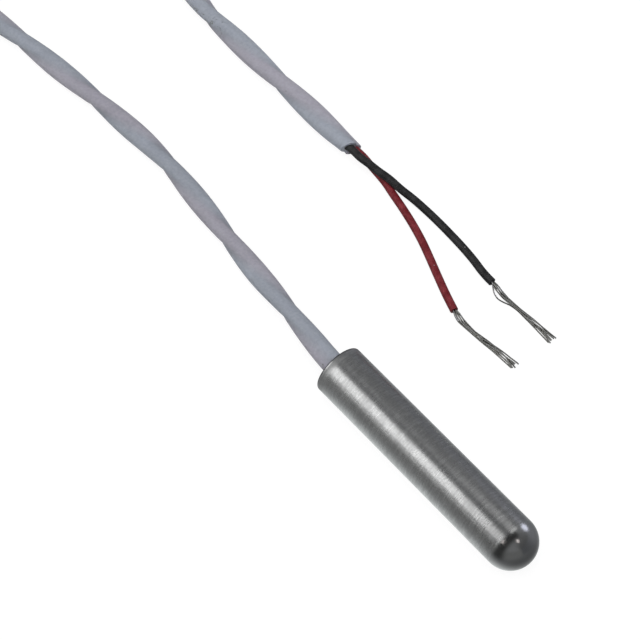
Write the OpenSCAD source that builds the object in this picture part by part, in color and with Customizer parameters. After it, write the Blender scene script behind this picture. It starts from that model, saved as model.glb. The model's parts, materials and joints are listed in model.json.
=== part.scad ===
// Closed-end resistance temperature probe in a steel tube, with a twisted two-wire cable.
// The tube lies along X with its domed tip towards +X. The origin is on the surface that it
// lies on, below the middle of the tube. The cable runs back along -X, is wound into a tied
// coil, and comes forward again to its stripped end beside the tube. Lengths are millimetres.

/* [Sheath] */
// Outside diameter of the steel tube
sheath_d = 6.35; // [6.2:0.05:8]
// Length of the tube from its open end to the tip of its dome
sheath_len = 31.75; // [31:0.25:60]
// Thickness of the tube's wall
sheath_wall = 0.4; // [0.3:0.05:0.5]
// Thickness of the metal at the middle of the dome
tip_wall = 0.5; // [0.4:0.05:1]
// Radius that breaks the outer edge of the open end
rim_round = 0.12; // [0.05:0.01:0.2]

/* [Cable] */
// Width of the cable's jacket across both wires
jacket_w = 2.67; // [2.6:0.01:2.75]
// Thickness of the cable's jacket across one wire
jacket_t = 1.92; // [1.85:0.01:2.1]
// Width of the jacket near its cut end, where stripping has loosened it
jacket_end_w = 2.84; // [2.7:0.01:2.9]
// Angle of the pair of wires to the surface, seen from behind the tube
pair_roll = 26; // [0:1:40]

/* [Wires] */
// Diameter of each wire over its insulation
wire_d = 0.95; // [0.85:0.01:0.98]
// Gap between the two wires inside the jacket
wire_gap = 0.1; // [0.08:0.01:0.14]
// Diameter of the stranded conductor
core_d = 0.48; // [0.4:0.01:0.56]
// Length of insulated wire between the jacket and the first splice
wire_free = 1.8; // [1.4:0.1:2.2]
// Length of bare conductor between each wire's insulation and its splice
bare_gap = 0.8; // [0.5:0.1:1]

/* [Splices] */
// Diameter of each crimped splice
splice_d = 0.8; // [0.7:0.01:0.84]
// Length of each splice
splice_len = 2.8; // [2.4:0.1:3]
// Length of conductor gripped in a splice
core_grip = 1.4; // [1:0.1:1.8]
// Wall of the insulating sleeve over each splice
sleeve_wall = 0.06; // [0.04:0.01:0.07]
// Gap all round between a wire and its sleeve
sleeve_slack = 0.015; // [0.01:0.005:0.02]
// Length of insulation that a sleeve covers, and by which it passes the splice in front
sleeve_lap = 1; // [0.8:0.1:1.2]
// Distance between the ends of the two sleeves, which lie one behind the other
sleeve_gap = 0.6; // [0.3:0.1:0.8]
// Distance between the front sleeve and the potting
sleeve_clear = 2.95; // [2:0.05:4]

/* [Sensing element] */
// Length of the ceramic chip
chip_len = 5; // [4.4:0.1:5.6]
// Width of the ceramic chip
chip_w = 2; // [1.9:0.05:2.4]
// Thickness of the ceramic chip
chip_t = 0.6; // [0.4:0.05:0.8]
// Distance from the chip to the inside of the tip
chip_set_back = 2.2; // [1.6:0.1:2.6]
// Diameter of the chip's two leads
lead_d = 0.2; // [0.16:0.01:0.26]
// Thickness of the weld that fixes each lead to its contact pad
weld_t = 0.03; // [0.02:0.01:0.05]
// Thickness at which the platinum film is drawn
film_t = 0.04; // [0.03:0.005:0.06]
// Width of one line of the film
film_line_w = 0.11; // [0.08:0.01:0.14]
// Number of lines in the film, an even number
film_lines = 8; // [4:2:8]
// Size of the two square contact pads
pad_size = 0.5; // [0.4:0.05:0.6]
// Thickness of the glass over the film
cover_glass_t = 0.12; // [0.08:0.01:0.2]
// Length of the glass bead that fixes the leads
bead_len = 1.5; // [1.3:0.05:1.7]
// Height of the bead's dome above the cover glass
bead_dome_h = 0.45; // [0.35:0.05:0.6]
// Bare rim of the chip around its film, glass and bead
chip_rim = 0.1; // [0.05:0.01:0.15]

/* [Filling] */
// Depth of the seal's face below the open end
seal_recess = 0.4; // [0.3:0.05:0.8]
// Length of the seal, measured from the open end
seal_len = 4.5; // [3.5:0.25:5.5]
// Height by which the seal creeps up the tube's wall
seal_creep = 0.15; // [0.1:0.01:0.25]
// Length of potting behind the chip
potting_cover = 1.5; // [1:0.1:2]
// Thickness of the insulating liner
liner_wall = 0.1; // [0.08:0.01:0.2]
// Gap all round between the liner and the bore
liner_slack = 0.05; // [0.02:0.01:0.1]

/* [Coil] */
// Diameter across the middle of the coil's turns
coil_mid_d = 29.6; // [28:0.1:32]
// Gap between neighbouring turns
turn_gap = 0.03; // [0:0.01:0.1]
// Width of the tie
tie_w = 2.4; // [1.8:0.1:3]
// Thickness of the tie's strap
tie_t = 0.4; // [0.3:0.05:0.6]
// Gap between the tie and the sides of the coil, which curve away from it
tie_slack = 0.1; // [0.08:0.01:0.2]
// Depth of the tie's head, towards the middle of the coil
tie_head_t = 2.2; // [1.8:0.1:3]
// Width by which the tie's head is wider than its strap
tie_head_extra = 1.4; // [1:0.1:2]
// Height of the tie's head
tie_head_h = 3; // [2.4:0.1:3.4]

/* [Hidden] */
$fn = 64;
cut = 1; // how far a cutting shape runs past what it cuts

// Tube: its ends, its bore, and the centres of the two dome surfaces
sheath_r = sheath_d / 2;
bore_r = sheath_r - sheath_wall;
x_open = -sheath_len / 2;
x_tip = sheath_len / 2;
x_dome = x_tip - sheath_r;
x_bore_dome = x_tip - tip_wall - bore_r;

// Wires: side +1 is black and side -1 is red. The black wire's splice lies in front of the red
// wire's, so that the two sleeves need no more room across the tube than a wire and a sleeve.
black = 1;
red = -1;
wire_pitch = wire_d + wire_gap;
sleeve_bore_d = wire_d + 2 * sleeve_slack;
sleeve_d = sleeve_bore_d + 2 * sleeve_wall;
sleeve_len = 2 * sleeve_lap + bare_gap + splice_len;
function wire_y(side) = side * wire_pitch / 2;

// Places along the tube, from the tip back to the potting, the splices and the jacket's end
x_chip_front = x_tip - tip_wall - chip_set_back;
x_chip_back = x_chip_front - chip_len;
x_bead = x_chip_back + chip_rim;
x_glass = x_bead + bead_len;
x_glass_front = x_chip_front - chip_rim;
x_pads = x_bead + chip_rim;
x_lead_end = x_pads + pad_size + film_line_w;
x_potting_back = x_chip_back - potting_cover;
function x_sleeve(side) =
    x_potting_back - sleeve_clear - sleeve_len - (side == red ? sleeve_len + sleeve_gap : 0);
function x_insulation_end(side) = x_sleeve(side) + sleeve_lap;
function x_splice(side) = x_insulation_end(side) + bare_gap;
function x_core_end(side) = x_splice(side) + core_grip;
x_jacket_end = x_insulation_end(red) - wire_free;
x_seal_end = x_open + seal_len;

// Heights on the chip, from the tube's axis, which the leads follow
z_chip_top = -lead_d / 2 - weld_t - film_t;
glass_h = film_t + cover_glass_t;
coated_w = chip_w - 2 * chip_rim;
film_w = coated_w - 2 * chip_rim;
film_pitch = (film_w - film_line_w) / (film_lines - 1);

// Coil: turns lie side by side in three columns, and in two columns on top of those
jacket_r = jacket_w / 2;
jacket_end_r = jacket_end_w / 2;
turn_pitch = jacket_w + turn_gap;
turn_r = turn_pitch / 2;
coil_centre = [-111, 15.4];
column_inner = coil_mid_d / 2 - turn_pitch;
column_middle = coil_mid_d / 2;
column_outer = coil_mid_d / 2 + turn_pitch;
lead_in_angle = -82.5;
tail_out_angle = 79.5;
join_len = 7; // straight stretch of cable beside each place where it joins the coil
mouth_straight = 0.3; // straight stretch of cable behind the tube

// Routes of the cable and the wires. The height is the clearance under the cable or wire.
cord_sides = 8;
lead_points = [
    [-18, 0.1, 1.78], [-20.5, 0.4, 1.56], [-23, 0.75, 1.21], [-26, 1.2, 0.77], [-29, 1.6, 0.37],
    [-32.5, 1.95, 0.09], [-37.5, 2.45, 0], [-43, 3.05, 0], [-48, 3.55, 0], [-52.5, 3.9, 0],
    [-56, 3.9, 0], [-61, 3.6, 0], [-66.5, 3.2, 0], [-72.5, 2.6, 0], [-79, 1.9, 0],
    [-85.5, 1.05, 0], [-92, 0.2, 0]
];
tail_points = [
    [-94.5, 27.4, 2.6], [-88.5, 26.3, 2], [-82.5, 25.2, 1.1], [-76.5, 24.1, 0.35],
    [-71, 23.05, 0.05], [-67, 22.55, 0], [-62, 22.5, 0], [-57, 22.45, 0], [-52, 22.45, 0],
    [-47, 22.45, 0], [-43, 22.4, 0], [-39, 22.4, 0]
];
black_points = [
    [-39, 22.2, 1.3], [-38.7, 22.2, 1.3], [-37.5, 22.5, 1.25], [-36.2, 22.8, 1.12],
    [-34.6, 23, 0.98], [-33, 23.15, 0.8], [-31, 23.25, 0.52], [-28.9, 23.5, 0.24],
    [-26.8, 23.65, 0.05], [-24.6, 23.65, 0], [-22.4, 23.55, 0], [-20.2, 23.4, 0],
    [-18, 23.15, 0], [-15.9, 22.8, 0], [-14.5, 22.7, 0], [-14.2, 22.7, 0]
];
red_points = [
    [-39, 22.8, 0.5], [-38.7, 22.8, 0.5], [-37.6, 23.2, 0.2], [-36.4, 23.2, 0.03], [-35, 23, 0],
    [-33.4, 22.7, 0], [-31.3, 22.2, 0], [-29.2, 21.75, 0], [-26.6, 21.1, 0], [-24, 20.3, 0],
    [-21.5, 19.35, 0], [-19, 18.35, 0], [-16.4, 17.35, 0], [-14.5, 16.7, 0], [-14.2, 16.7, 0]
];
black_strand_points = [
    [-14.2, 22.7, 0.2], [-13.9, 22.7, 0.2], [-12.6, 22.5, 0.1], [-10.4, 22.4, 0], [-7.9, 22.4, 0],
    [-5, 22.55, 0], [-3.9, 22.6, 0]
];
red_strand_points = [
    [-14.2, 16.7, 0.2], [-13.9, 16.7, 0.2], [-12.9, 16.7, 0.1], [-11.6, 16.75, 0], [-9.8, 16.8, 0],
    [-7.4, 16.85, 0], [-5.4, 17, 0], [-4.3, 17.1, 0]
];
fan_d = 0.75; // width over the loose strands at their tips

function unit(v) = v / norm(v);

// Radius at one of the points of a route, between those at its two ends
function radius_at(points, i, r_start, r_end) =
    r_start + (r_end - r_start) * i / (len(points) - 1);

// Points of a route, raised by the radius of what lies along it
function raised(points, r_start, r_end) =
    [for (i = [0 : len(points) - 1]) points[i] + [0, 0, radius_at(points, i, r_start, r_end)]];

// Direction of a route at one of its points
function heading(path, i) = unit(path[min(i + 1, len(path) - 1)] - path[max(i - 1, 0)]);

// One ring of points across a route
function ring_at(path, i, r) =
    let (t = heading(path, i), side = unit(cross([0, 0, 1], t)), lift = cross(t, side))
    [for (k = [0 : cord_sides - 1])
        let (a = 360 * k / cord_sides) path[i] + r * (cos(a) * side + sin(a) * lift)];

// A point on the middle of a turn, and the direction in which that turn runs there, clockwise
function on_turn(r, angle, z) =
    [coil_centre[0] + r * cos(angle), coil_centre[1] + r * sin(angle), z];
function turn_heading(angle) = [sin(angle), -cos(angle), 0];

// Where the cable joins the coil, and the direction of its straight stretch away from there
coil_start = on_turn(column_outer, lead_in_angle, jacket_r);
coil_end = on_turn(column_middle, tail_out_angle, turn_pitch + turn_r);
lead_away = -turn_heading(lead_in_angle);
tail_away = turn_heading(tail_out_angle);

// A tube swept along a route, from one radius to another
module swept_tube(path, r_start, r_end) {
    last = len(path) - 1;
    points = [for (i = [0 : last]) each ring_at(path, i, radius_at(path, i, r_start, r_end))];
    start_cap = [for (k = [0 : cord_sides - 1]) k];
    end_cap = [for (k = [cord_sides - 1 : -1 : 0]) last * cord_sides + k];
    walls = [for (i = [0 : last - 1], k = [0 : cord_sides - 1])
        let (next = (k + 1) % cord_sides, a = i * cord_sides, b = a + cord_sides)
        [a + k, b + k, b + next, a + next]];
    polyhedron(points, concat([start_cap, end_cap], walls), convexity = 6);
}

// Puts a child on the tube's axis, rolled about it by an angle
module on_axis(roll = 0) {
    translate([0, 0, sheath_r]) rotate([roll, 0, 0]) children();
}

// Turns a half section, drawn with the radius along X and the tube's length along Y, into a solid
module turned() {
    on_axis() rotate([0, 90, 0]) rotate_extrude() children();
}

// Extrudes a cross-section along the tube
module along_tube(x_start, x_end) {
    translate([x_start, 0, 0]) rotate([90, 0, 90]) linear_extrude(x_end - x_start) children();
}

// A round rod along the tube
module rod(x_start, x_end, d, y) {
    translate([x_start, y, 0]) rotate([0, 90, 0]) cylinder(h = x_end - x_start, d = d);
}

// A block along the tube, as wide on both sides of the axis
module block(x_start, x_end, w, z_start, h) {
    translate([x_start, -w / 2, z_start]) cube([x_end - x_start, w, h]);
}

// Half section of a rod of radius r with a ball end
module ball_end_section(r, x_start, x_centre) {
    translate([0, x_start]) square([r, x_centre - x_start]);
    translate([0, x_centre]) intersection() {
        circle(r);
        square(r);
    }
}

module sheath_tube() {
    color("silver") turned() difference() {
        ball_end_section(sheath_r, x_open, x_dome);
        ball_end_section(bore_r, x_open - cut, x_bore_dome);
        translate([sheath_r - rim_round, x_open]) difference() {
            translate([0, -cut]) square([cut, cut + rim_round]);
            translate([0, rim_round]) circle(rim_round);
        }
    }
}

// The jacket's cross-section: two round lobes, one over each wire
module jacket_section() {
    lobe_y = (jacket_w - jacket_t) / 2;
    square([2 * lobe_y, jacket_t], center = true);
    for (side = [red, black]) translate([side * lobe_y, 0]) circle(d = jacket_t);
}

module jacket_entry() {
    color("lightsteelblue") on_axis(pair_roll) difference() {
        along_tube(x_open, x_jacket_end) jacket_section();
        for (side = [red, black]) rod(x_open - cut, x_jacket_end + cut, wire_d, wire_y(side));
    }
}

module inner_wire(side, tint) {
    color(tint) on_axis(pair_roll) difference() {
        rod(x_open, x_insulation_end(side), wire_d, wire_y(side));
        rod(x_open - cut, x_insulation_end(side) + cut, core_d, wire_y(side));
    }
}

module inner_core(side) {
    color("gainsboro") on_axis(pair_roll) rod(x_open, x_core_end(side), core_d, wire_y(side));
}

module splice(side) {
    x_end = x_splice(side) + splice_len;
    color("khaki") on_axis(pair_roll) difference() {
        rod(x_splice(side), x_end, splice_d, wire_y(side));
        rod(x_splice(side) - cut, x_core_end(side), core_d, wire_y(side));
        rod(x_core_end(side) - cut / 2, x_end + cut, lead_d, wire_y(side));
    }
}

module splice_sleeve(side) {
    x_end = x_sleeve(side) + sleeve_len;
    color("peru") on_axis(pair_roll) difference() {
        rod(x_sleeve(side), x_end, sleeve_d, wire_y(side));
        rod(x_sleeve(side) - cut, x_end + cut, sleeve_bore_d, wire_y(side));
    }
}

module element_lead(side) {
    color("lightgray") on_axis(pair_roll) rod(x_core_end(side), x_lead_end, lead_d, wire_y(side));
}

module chip_shape() {
    block(x_chip_back, x_chip_front, chip_w, z_chip_top - chip_t, chip_t);
}

module glass_shape() {
    block(x_glass, x_glass_front, coated_w, z_chip_top, glass_h);
}

// The bead: as high as the cover glass at its ends, and domed between them
module bead_shape() {
    dome_r = (bead_len * bead_len / 4 + bead_dome_h * bead_dome_h) / (2 * bead_dome_h);
    intersection() {
        block(x_bead, x_glass, coated_w, z_chip_top, glass_h + bead_dome_h);
        translate([(x_bead + x_glass) / 2, chip_w / 2, z_chip_top + glass_h + bead_dome_h - dome_r])
            rotate([90, 0, 0]) cylinder(h = chip_w, r = dome_r);
    }
}

// The film: a folded line between two pads, seen from above
module film_outline() {
    x_fold_back = x_glass + chip_rim;
    x_fold_front = x_glass_front - chip_rim;
    for (i = [0 : film_lines - 1]) {
        y = (i - (film_lines - 1) / 2) * film_pitch;
        x_start = i == 0 || i == film_lines - 1 ? x_pads : x_fold_back;
        translate([x_start, y - film_line_w / 2]) square([x_fold_front - x_start, film_line_w]);
        if (i < film_lines - 1)
            translate([i % 2 == 0 ? x_fold_front - film_line_w : x_fold_back, y])
                square([film_line_w, film_pitch]);
    }
    for (side = [red, black])
        translate([x_pads, side * (film_w - pad_size) / 2 - pad_size / 2]) square(pad_size);
}

module film_shape() {
    translate([0, 0, z_chip_top]) linear_extrude(film_t) film_outline();
}

module element_chip() {
    color("white") on_axis(pair_roll) chip_shape();
}

module platinum_film() {
    color("slategray") on_axis(pair_roll) film_shape();
}

module cover_glass() {
    color("lightblue") on_axis(pair_roll) difference() {
        glass_shape();
        film_shape();
    }
}

module lead_bead() {
    color("skyblue") on_axis(pair_roll) difference() {
        bead_shape();
        film_shape();
        for (side = [red, black]) rod(x_bead - cut, x_lead_end, lead_d, wire_y(side));
    }
}

module tip_potting() {
    color("dimgray") difference() {
        turned() ball_end_section(bore_r, x_potting_back, x_bore_dome);
        on_axis(pair_roll) {
            chip_shape();
            glass_shape();
            bead_shape();
            for (side = [red, black]) rod(x_potting_back - cut, x_lead_end, lead_d, wire_y(side));
        }
    }
}

module liner_tube() {
    liner_r = bore_r - liner_slack;
    color("goldenrod") turned() translate([liner_r - liner_wall, x_seal_end])
        square([liner_wall, x_potting_back - x_seal_end]);
}

// The seal fills the tube's mouth around the jacket and its wires, and its face is dished
module end_seal() {
    dish_r = (bore_r * bore_r + seal_creep * seal_creep) / (2 * seal_creep);
    x_face = x_open + seal_recess;
    color("darkslategray") difference() {
        turned() difference() {
            translate([0, x_face - seal_creep]) square([bore_r, x_seal_end - x_face + seal_creep]);
            translate([0, x_face - dish_r]) intersection() {
                circle(dish_r, $fn = 512);
                translate([0, -dish_r]) square([dish_r, 2 * dish_r]);
            }
        }
        on_axis(pair_roll) {
            along_tube(x_open - cut, x_jacket_end) jacket_section();
            for (side = [red, black]) rod(x_open, x_insulation_end(side), wire_d, wire_y(side));
        }
    }
}

module jacket_probe_side() {
    mouth = [x_open, 0, sheath_r];
    route = concat([mouth, mouth - [mouth_straight, 0, 0]], raised(lead_points, jacket_r, jacket_r),
                   [coil_start + join_len * lead_away, coil_start]);
    color("lightsteelblue") swept_tube(route, jacket_r, jacket_r);
}

module jacket_tail() {
    route = concat([coil_end, coil_end + join_len * tail_away],
                   raised(tail_points, jacket_end_r, jacket_end_r));
    color("lightsteelblue") swept_tube(route, jacket_r, jacket_end_r);
}

// Half section of the stacked turns: three columns below, two above
module turns_section() {
    translate([column_inner, 0]) square([column_outer - column_inner, turn_pitch]);
    for (column = [column_inner, column_outer]) translate([column, turn_r]) circle(turn_r);
    translate([column_inner - turn_r, turn_r]) square([2 * turn_pitch, turn_pitch]);
    translate([column_inner, turn_pitch]) square([turn_pitch, turn_pitch]);
    for (column = [column_inner, column_middle])
        translate([column, turn_pitch + turn_r]) circle(turn_r);
}

// The way that the cable takes when it leaves its turn at a tangent, on layer 0 or 1. It is two
// cables wide, and its spare width is on the outer side, which is +1 to the left and -1 to the right.
module join_channel(place, away, layer, outer_side) {
    z_start = layer * turn_pitch - (layer == 0 ? cut : 0);
    translate([place[0], place[1], z_start]) rotate([0, 0, atan2(away[1], away[0])])
        translate([0, outer_side * turn_r - turn_pitch, 0])
            cube([column_outer, 2 * turn_pitch, turn_pitch + cut]);
}

module jacket_coil() {
    color("lightsteelblue") difference() {
        translate([coil_centre[0], coil_centre[1], 0]) rotate_extrude() turns_section();
        join_channel(coil_start, lead_away, 0, -1);
        join_channel(coil_end, tail_away, 1, 1);
        tie_strap();
    }
}

// Outline around the stacked turns, grown by a distance
module tie_outline(grow) {
    corner_r = turn_r - tie_slack;
    low = tie_t + corner_r;
    high = 2 * turn_pitch - corner_r;
    hull() {
        for (p = [[column_inner - 2 * tie_slack, low], [column_outer + 2 * tie_slack, low],
                  [column_inner - 2 * tie_slack, high], [column_middle + 2 * tie_slack, high]])
            translate(p) circle(corner_r + grow, $fn = 32);
    }
}

// The strap around the turns on the far side of the coil
module tie_strap() {
    translate([coil_centre[0], coil_centre[1] + tie_w / 2, 0]) mirror([1, 0, 0])
        rotate([90, 0, 0]) linear_extrude(tie_w) difference() {
            tie_outline(tie_t);
            tie_outline(0);
        }
}

module coil_tie() {
    head_w = tie_w + tie_head_extra;
    x_strap = coil_centre[0] - (column_inner - turn_r - tie_slack - tie_t);
    color("white") {
        tie_strap();
        translate([x_strap - tie_t / 2, coil_centre[1] - head_w / 2, turn_pitch - tie_head_h / 2])
            cube([tie_head_t + tie_t / 2, head_w, tie_head_h]);
    }
}

// A wire or a bundle of strands, lying along its route
module lying(points, d_start, d_end) {
    swept_tube(raised(points, d_start / 2, d_end / 2), d_start / 2, d_end / 2);
}

module wire_black() {
    color("black") lying(black_points, wire_d, wire_d);
}

module wire_red() {
    color("firebrick") lying(red_points, wire_d, wire_d);
}

module strands_black() {
    color("gainsboro") lying(black_strand_points, core_d, fan_d);
}

module strands_red() {
    color("gainsboro") lying(red_strand_points, core_d, fan_d);
}

sheath_tube();
tip_potting();
liner_tube();
end_seal();
element_chip();
platinum_film();
cover_glass();
lead_bead();
element_lead(black);  // element_lead_black
element_lead(red);  // element_lead_red
splice(black);  // splice_black
splice(red);  // splice_red
splice_sleeve(black);  // splice_sleeve_black
splice_sleeve(red);  // splice_sleeve_red
inner_wire(black, "black");  // inner_wire_black
inner_wire(red, "firebrick");  // inner_wire_red
inner_core(black);  // inner_core_black
inner_core(red);  // inner_core_red
jacket_entry();
jacket_probe_side();
jacket_coil();
jacket_tail();
coil_tie();
wire_black();
wire_red();
strands_black();
strands_red();
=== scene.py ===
"""A closed-end resistance temperature probe and its twisted two-wire cable in a plain studio.

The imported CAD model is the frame. Its hidden inner parts stay and are dressed here, and the parts
that show are modelled anew in their places. Lengths are millimetres until a piece is finished. A
span is the pair of values at which a fade is 0 and 1.
"""

import json
import logging
import math
from collections.abc import Callable, Sequence
from dataclasses import dataclass, field, replace
from enum import Enum
from functools import reduce

import bmesh
import bpy
import numpy as np
from bpy.types import Material, Node, NodeTree, Object
from mathutils import Matrix, Vector
from mathutils.geometry import interpolate_bezier

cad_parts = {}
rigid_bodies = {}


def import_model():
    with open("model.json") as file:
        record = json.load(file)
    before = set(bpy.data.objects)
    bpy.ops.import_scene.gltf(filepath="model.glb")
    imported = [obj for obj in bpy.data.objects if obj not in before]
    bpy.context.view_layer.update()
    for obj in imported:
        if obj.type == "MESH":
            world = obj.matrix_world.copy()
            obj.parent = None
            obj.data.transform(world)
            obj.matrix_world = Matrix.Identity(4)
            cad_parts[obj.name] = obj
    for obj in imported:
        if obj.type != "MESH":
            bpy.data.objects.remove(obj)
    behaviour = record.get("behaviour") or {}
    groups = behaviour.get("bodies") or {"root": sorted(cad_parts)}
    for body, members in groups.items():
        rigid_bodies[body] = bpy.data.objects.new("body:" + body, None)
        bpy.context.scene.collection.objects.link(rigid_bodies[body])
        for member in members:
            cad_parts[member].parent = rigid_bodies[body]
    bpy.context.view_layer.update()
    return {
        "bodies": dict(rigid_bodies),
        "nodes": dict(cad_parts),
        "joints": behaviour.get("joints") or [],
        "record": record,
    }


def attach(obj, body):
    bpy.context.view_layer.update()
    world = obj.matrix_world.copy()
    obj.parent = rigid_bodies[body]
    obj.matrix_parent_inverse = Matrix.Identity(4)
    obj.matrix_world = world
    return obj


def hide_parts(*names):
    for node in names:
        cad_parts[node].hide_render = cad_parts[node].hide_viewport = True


MM = 0.001
LAY = "lay"
UP = Vector((0.0, 0.0, 1.0))
LOG = logging.getLogger("probe")
TINY = 0.001
# Angle in degrees from which an edge stays sharp
CREASE = 35.0
FINE_DETAIL = 3.0
BROAD_SHARE = 0.13
PATCH_SPAN = (0.32, 0.68)
SPECK_SPAN = (0.08, 0.2)

BMesh = bmesh.types.BMesh
BMVert = bmesh.types.BMVert
BMEdge = bmesh.types.BMEdge
Socket = bpy.types.NodeSocket
Ring = list[BMEdge]
Pair = Span = tuple[float, float]
Point = Colour = tuple[float, float, float]
Number = float | Socket
Shade = Colour | Socket
Feeds = dict[str | int, object]


class Slot(Enum):
    """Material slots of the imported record."""

    SHEATH = "sheath_steel"
    POTTING = "potting_cement"
    LINER = "liner_film"
    SEAL = "seal_resin"
    CHIP = "chip_ceramic"
    PLATINUM = "platinum"
    GLASS = "element_glass"
    LEAD = "lead_metal"
    SPLICE = "splice_metal"
    BLACK = "insulation_black"
    RED = "insulation_red"
    CONDUCTOR = "conductor"
    JACKET = "jacket"
    TIE = "tie_plastic"


class Place(Enum):
    """What a pattern is laid out on."""

    OBJECT = "object coordinates of the piece"
    CABLE = "the cable or wire as it would be if it lay straight"


# ---- Node trees ----


def rgba(colour: Shade) -> tuple[float, ...] | Socket:
    """A colour with its alpha, or the socket that it comes from."""
    return colour if isinstance(colour, Socket) else (*colour, 1.0)


class Bench:
    """A node tree with short ways to add and join its nodes."""

    def __init__(self, tree: NodeTree) -> None:
        """Starts with an empty tree of a material, a world or a group."""
        tree.nodes.clear()
        self.tree = tree

    def add(self, kind: str, feeds: Feeds | None = None, **settings: object) -> Node:
        """Adds a node.

        Args:
            kind: Blender's name of the node type.
            feeds: What goes into its sockets, either values or other nodes' outputs.
            **settings: Options of the node itself.

        Returns:
            The new node.
        """
        node = self.tree.nodes.new(kind)
        for name, value in settings.items():
            setattr(node, name, value)
        for key, value in (feeds or {}).items():
            if isinstance(value, Socket):
                self.tree.links.new(value, node.inputs[key])
            else:
                node.inputs[key].default_value = value
        return node

    def maths(self, operation: str, *terms: Number) -> Socket:
        """The result of a Math node with one, two or three terms."""
        return self.add("ShaderNodeMath", dict(enumerate(terms)), operation=operation).outputs[0]

    def times(self, *terms: Number) -> Socket:
        """The product of all terms."""
        return reduce(lambda product, term: self.maths("MULTIPLY", product, term), terms)

    def rest(self, share: Socket) -> Socket:
        """What a share leaves of 1."""
        return self.maths("SUBTRACT", 1.0, share)

    def fade(self, value: Socket, low: Number, high: Number) -> Socket:
        """A share that goes smoothly from 0 to 1 while a value goes from low to high."""
        feeds = {"Value": value, "From Min": low, "From Max": high}
        return self.add("ShaderNodeMapRange", feeds, interpolation_type="SMOOTHSTEP").outputs[0]

    def between(self, share: Socket, low: Number, high: Number) -> Socket:
        """The number that lies at a share of the way from low to high."""
        feeds = {"Factor": share, "A": low, "B": high}
        return self.add("ShaderNodeMix", feeds, data_type="FLOAT").outputs["Result"]

    def tint(self, share: Socket, first: Shade, second: Shade) -> Socket:
        """The mix of two colours that holds a share of the second one."""
        # The node has several sockets of each name, so its colours go by number
        feeds = {0: share, 6: rgba(first), 7: rgba(second)}
        return self.add("ShaderNodeMix", feeds, data_type="RGBA").outputs[2]

    def darker(self, colour: Shade, share: Socket) -> Socket:
        """A colour of which a share has turned black."""
        return self.tint(share, colour, (0.0, 0.0, 0.0))

    def scaled(self, colour: Socket, value: Number) -> Socket:
        """A colour times a number."""
        feeds = {0: colour, "Scale": value}
        return self.add("ShaderNodeVectorMath", feeds, operation="SCALE").outputs[0]

    def stretched(self, spot: Socket, scale: Point) -> Socket:
        """Coordinates times a number of their own along X, Y and Z."""
        return self.add("ShaderNodeMapping", {"Vector": spot, "Scale": scale}).outputs["Vector"]

    def millimetres(self) -> Socket:
        """The object's own coordinates in millimetres."""
        return self.stretched(self.add("ShaderNodeTexCoord").outputs["Object"], (1 / MM,) * 3)

    def split(self, spot: Socket) -> Sequence[Socket]:
        """The three parts of a vector."""
        return self.add("ShaderNodeSeparateXYZ", {0: spot}).outputs

    def noise(self, spot: Socket, cells: Number, detail: float = 2.0) -> Socket:
        """A noise pattern about 0.5, with octaves of finer noise on it."""
        feeds = {"Vector": spot, "Scale": cells, "Detail": detail}
        return self.add("ShaderNodeTexNoise", feeds).outputs[0]

    def use(self, group: "Group", feeds: Feeds) -> Sequence[Socket]:
        """The output sockets of a node group that is placed here."""
        return self.add("ShaderNodeGroup", feeds, node_tree=group.tree()).outputs


def new_bench(owner: Material | bpy.types.World) -> Bench:
    """Starts the node tree of a material or a world."""
    owner.use_nodes = True
    return Bench(owner.node_tree)


@dataclass(frozen=True)
class Group:
    """A shader node group: its name, the types of its sockets, and the function that fills it."""

    name: str
    inputs: dict[str, str]
    outputs: dict[str, str]
    fill: Callable[[Bench, Sequence[Socket]], Feeds]

    def tree(self) -> NodeTree:
        """Builds the group once, and finds it again after that.

        Returns:
            The group.
        """
        tree = bpy.data.node_groups.get(self.name)
        if tree is None:
            tree = bpy.data.node_groups.new(self.name, "ShaderNodeTree")
            for way, sockets in (("INPUT", self.inputs), ("OUTPUT", self.outputs)):
                for title, kind in sockets.items():
                    tree.interface.new_socket(name=title, in_out=way,
                                              socket_type=f"NodeSocket{kind}")
            bench = Bench(tree)
            start = bench.add("NodeGroupInput")
            bench.add("NodeGroupOutput", self.fill(bench, start.outputs))
        return tree


def fill_mottle(bench: Bench, given: Sequence[Socket]) -> Feeds:
    """Fills the group that varies a colour in soft patches and in fine grain.

    Args:
        bench: The group's node tree.
        given: The group's input sockets.

    Returns:
        The mottled colour.
    """
    patches = bench.fade(bench.noise(given["Spot"], given["Patches"]), *PATCH_SPAN)
    colour = bench.tint(patches, given["Colour"], given["Second colour"])
    fine = bench.noise(given["Spot"], given["Grains"], FINE_DETAIL)
    spread = bench.times(bench.maths("SUBTRACT", fine, 0.5), given["Contrast"])
    return {"Colour": bench.scaled(colour, bench.maths("ADD", spread, 1.0))}


def fill_grain(bench: Bench, given: Sequence[Socket]) -> Feeds:
    """Fills the group that gives a surface its fine unevenness.

    Args:
        bench: The group's node tree.
        given: The group's input sockets.

    Returns:
        Roughness and height over the surface.
    """
    fine = bench.noise(given["Spot"], given["Grains"], FINE_DETAIL)
    broad = bench.noise(given["Spot"], bench.times(given["Grains"], BROAD_SHARE))
    both = bench.maths("SUBTRACT", bench.maths("ADD", fine, broad), 1.0)
    rough = bench.maths("MULTIPLY_ADD", both, given["Spread"], given["Roughness"])
    return {"Roughness": rough, "Height": fine}


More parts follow.
